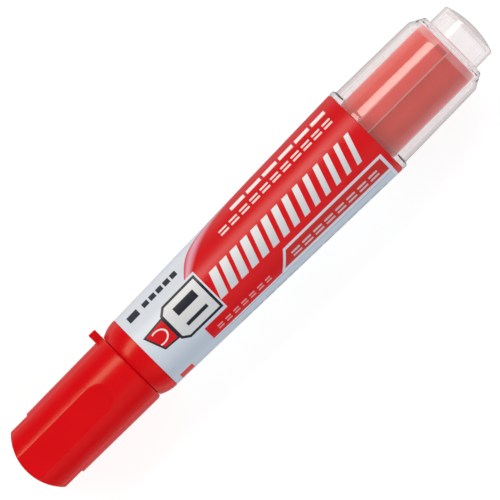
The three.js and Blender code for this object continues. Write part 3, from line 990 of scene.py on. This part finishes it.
def tail_plug(material):
    """The clear plug: a skirt inside the barrel, a collar, a tapered body and a hollow knob."""
    skirt, collar, bore, hollow = 9.4, 11.04, 8.1, 5.45
    collar_front, collar_land, collar_rear = BARREL_REAR + 0.06, 35.5, 35.9
    chamfer_front, chamfer_rear = 57.0, 60.1
    knob_front, knob_rim = 60.25, 65.0
    bore_end, hollow_end = CARTRIDGE_REAR + 0.3, PLUG_REAR - 1.9
    outline = [
        (hollow_end, 0, 0), (hollow_end, hollow, 0.6), (bore_end, hollow, 0.2), (bore_end, bore, 0.9),
        (PLUG_FRONT, bore, 0.2), (PLUG_FRONT, skirt, 0.5), (collar_front, skirt, 0.1),
        (collar_front, collar, 0.12), (collar_land, collar, 0.3), (collar_rear, 10.5, 0.2),
        (collar_rear, 10.35, 0.1), (chamfer_front, 9.97, 0.9), (chamfer_rear, 8.3, 0.5),
        (knob_front, 8.1, 0.1), (knob_front, 6.88, 0.15), *dome(knob_rim, 6.8),
    ]
    plug = revolve("clear_tail_plug", outline, closed=False, angles=even_angles(192))
    return coated(plug, material, "clear_plastic", "plug", "tail_plug")


def build_marker():
    red = red_plastic()
    white = pale_plastic("white_plastic", (0.80, 0.79, 0.76), (0.72, 0.66, 0.63), 0.40, 0.006)
    milky = pale_plastic("liner_plastic", (0.74, 0.72, 0.67), (0.66, 0.60, 0.56), 0.52, 0.010)
    felt = fibre("nib_felt", (0.20, 0.003, 0.005), (0.42, 0.012, 0.016), (0.12, 1, 1), 0.06)
    rod = fibre("feed_fibre", (0.34, 0.012, 0.016), (0.60, 0.14, 0.14), (0.06, 1, 1), 0.04)
    cap_shell(red)
    inner_cap(milky)
    nib(felt)
    nib_holder(white)
    feed_rod(rod)
    ink_collector(white)
    connector(white)
    barrel(red)
    barrel_label(label_print())
    cartridge_body(cartridge_plastic())
    cartridge_stopper(white)
    seal_ring(rubber())
    seal_ball(white)
    ink_charge(liquid_ink())
    tail_plug(clear_plastic())


# ---- Floor, light and camera ---------------------------------------------------------------------


def floor():
    """A wide sheet of white paper, lit so evenly that it shows next to no shadow."""
    mesh = bpy.data.meshes.new("studio_floor")
    half = 1.5
    corners = [(-half, -half, 0), (half, -half, 0), (half, half, 0), (-half, half, 0)]
    mesh.from_pydata(corners, [], [(0, 1, 2, 3)])
    ground = bpy.data.objects.new("studio_floor", mesh)
    ground.location.z = -0.0002
    ground.visible_glossy = False
    ground.visible_shadow = False
    bpy.context.scene.collection.objects.link(ground)
    paint = Paint("floor_paper")
    grain = paint.noise(0.02, detail=3.0)
    paint.colour(paint.mix(grain.ramp(0.3, 0.7), (0.27, 0.27, 0.27), (0.25, 0.25, 0.25)))
    paint.set(roughness=0.9, specular_ior_level=0.1, emission_color=(1, 1, 1), emission_strength=0.82)
    mesh.materials.append(paint.material)


def lamp(name, place_at, size, power, colour=(1, 1, 1), seen_in_gloss=True):
    """A soft box that faces the marker's middle, its long side along the marker."""
    data = bpy.data.lights.new(name, "AREA")
    data.shape = "RECTANGLE"
    data.size, data.size_y = size
    data.energy = power
    data.color = colour
    box = bpy.data.objects.new(name, data)
    to_centre = Vector((0, 0, AXIS_Z)) - Vector(place_at)
    back = -to_centre.normalized()
    side = Vector((1, 0, 0))
    side = (side - back * side.dot(back)).normalized()
    up = back.cross(side)
    turn = Matrix((side, up, back)).transposed().to_4x4()
    box.matrix_world = Matrix.Translation(place_at) @ turn
    box.visible_glossy = seen_in_gloss
    box.visible_transmission = False
    bpy.context.scene.collection.objects.link(box)


def lights():
    lamp("key_strip", (0.0, 0.39, 0.46), (1.3, 0.20), 4.7, (1.0, 0.94, 0.84))
    lamp("overhead_tent", (0.0, 0.0, 1.50), (4.0, 4.0), 14.0, seen_in_gloss=False)
    lamp("low_fill", (0.0, -0.80, 0.60), (2.2, 0.70), 9.0, seen_in_gloss=False)
    lamp("edge_strip_left", (0.0, 0.50, -0.33), (1.3, 0.10), 0.25)
    lamp("edge_strip_right", (0.0, -0.50, -0.33), (1.3, 0.10), 0.25)
    surroundings()


def surroundings():
    """A dim studio, but pale behind the marker and where its clear plastic shows what is around,
    and half as pale where a surface mirrors the floor."""
    world = bpy.data.worlds.new("studio_air")
    world.use_nodes = True
    tree = world.node_tree
    path = tree.nodes.new("ShaderNodeLightPath")
    air = tree.nodes["Background"]
    air.inputs["Color"].default_value = (1, 1, 1, 1)
    through = Value(tree, path.outputs["Transmission Depth"]).math("GREATER_THAN", 0.5)
    direct = Value(tree, path.outputs["Diffuse Depth"]).math("LESS_THAN", 0.5)
    pale = (through * direct).most(Value(tree, path.outputs["Is Camera Ray"]))
    heading = tree.nodes.new("ShaderNodeSeparateXYZ")
    where = tree.nodes.new("ShaderNodeTexCoord")
    tree.links.new(where.outputs["Generated"], heading.inputs[0])
    down = Value(tree, heading.outputs["Z"]).ramp(-0.3, 0.0, 1.0, 0.0)
    mirrored = down * Value(tree, path.outputs["Is Glossy Ray"])
    level = pale.most(mirrored * 0.4) * 0.76 + 0.06
    tree.links.new(level.socket, air.inputs["Strength"])
    bpy.context.scene.world = world


def camera():
    """Straight down from far over the axis, turned so the marker rises from lower left."""
    distance = 3.0
    frame_width = 0.105
    data = bpy.data.cameras.new("camera")
    data.sensor_width = 36.0
    data.lens = data.sensor_width * distance / frame_width
    eye = bpy.data.objects.new("camera", data)
    turn = radians(-44.97)
    up = Vector((-sin(turn), cos(turn), 0))
    aim = Vector((0, 0, AXIS_Z)) - up * 0.00042
    eye.location = aim + Vector((0, 0, distance))
    eye.rotation_euler = (0, 0, turn)
    bpy.context.scene.collection.objects.link(eye)
    bpy.context.scene.camera = eye


def tone():
    settings = bpy.context.scene.view_settings
    settings.view_transform = "Standard"
    settings.look = "None"


camera()
tone()
floor()
lights()
build_marker()
